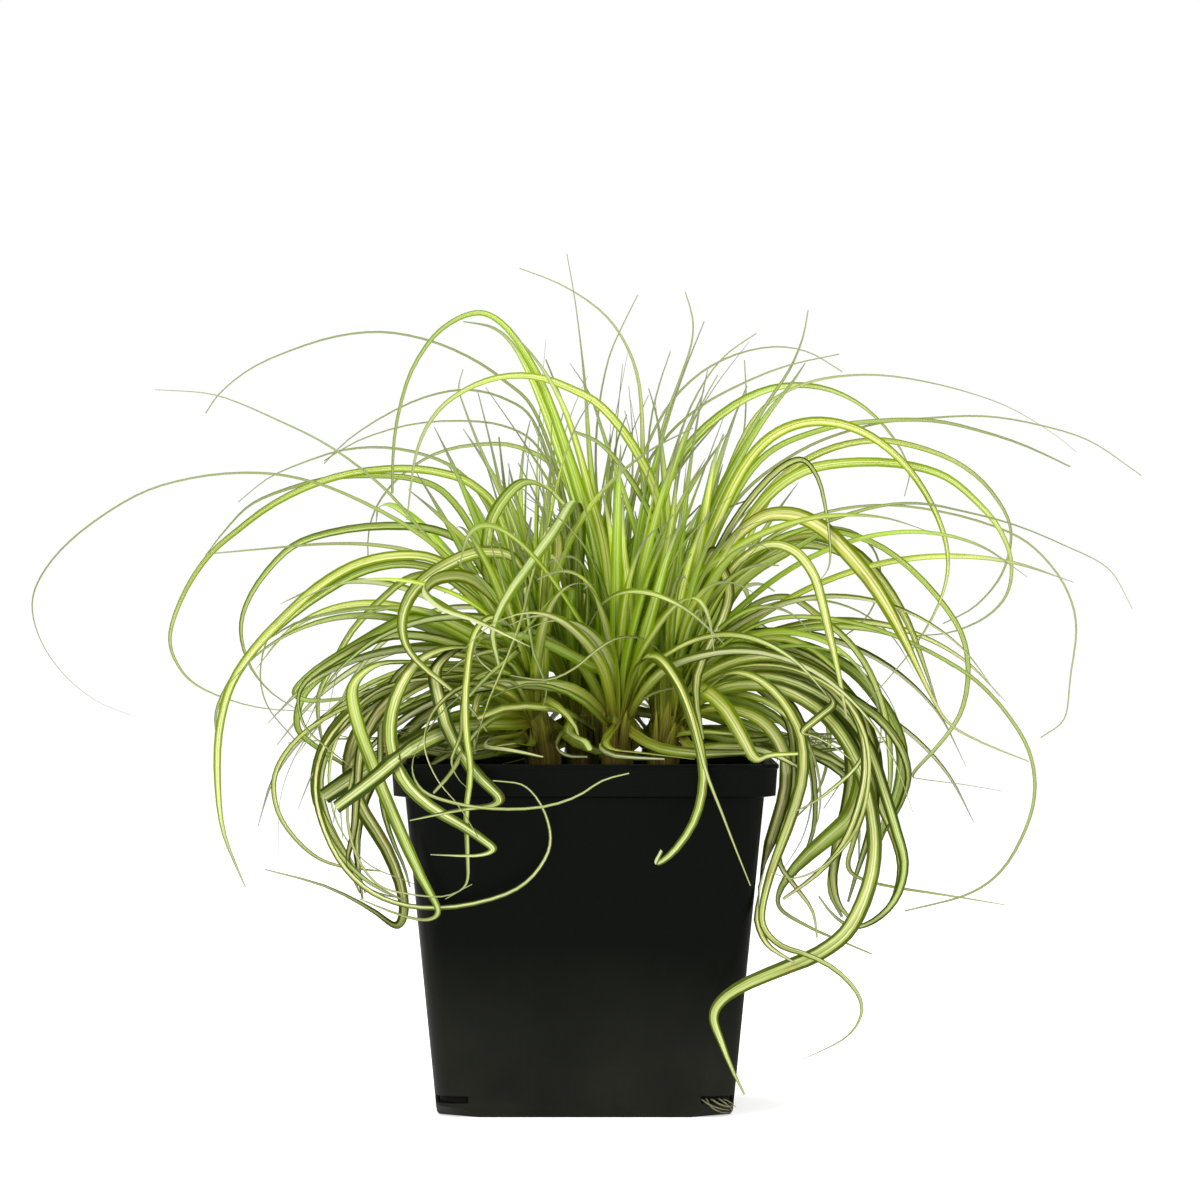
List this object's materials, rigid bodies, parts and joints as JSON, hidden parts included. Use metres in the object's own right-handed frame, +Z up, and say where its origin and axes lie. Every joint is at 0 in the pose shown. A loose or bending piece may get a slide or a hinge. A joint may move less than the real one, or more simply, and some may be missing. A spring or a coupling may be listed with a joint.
{
  "type": "potted sedge",
  "caption": "Variegated sedge with long arching striped blades, in a square black nursery pot with a collared rim and drain slots at its foot.",
  "frame": {"origin": "centre of the pot's foot, on the surface it stands on", "axes": "+Z up along the pot's axis; -Y is the front seen in the picture; +X is the viewer's right"},
  "size_m": [0.3902, 0.302, 0.2973],
  "materials": {
    "pot": "semi-matte black with an olive tint",
    "soil": "moist peat compost",
    "sheath": "dry brown fibrous leaf sheaths",
    "blade": "satin green blades with pale stripes"
  },
  "bodies": {
    "root": {"pot": "pot", "potting_soil": "soil", "sheath_left": "sheath", "sheath_middle": "sheath", "sheath_right": "sheath", "sheath_inner": "sheath", "sheath_rear_left": "sheath", "sheath_rear": "sheath", "sheath_rear_right": "sheath", "shoot_left": "blade", "shoot_middle": "blade", "shoot_right": "blade", "shoot_inner": "blade", "shoot_rear_left": "blade", "shoot_rear": "blade", "shoot_rear_right": "blade"}
  },
  "joints": []
}
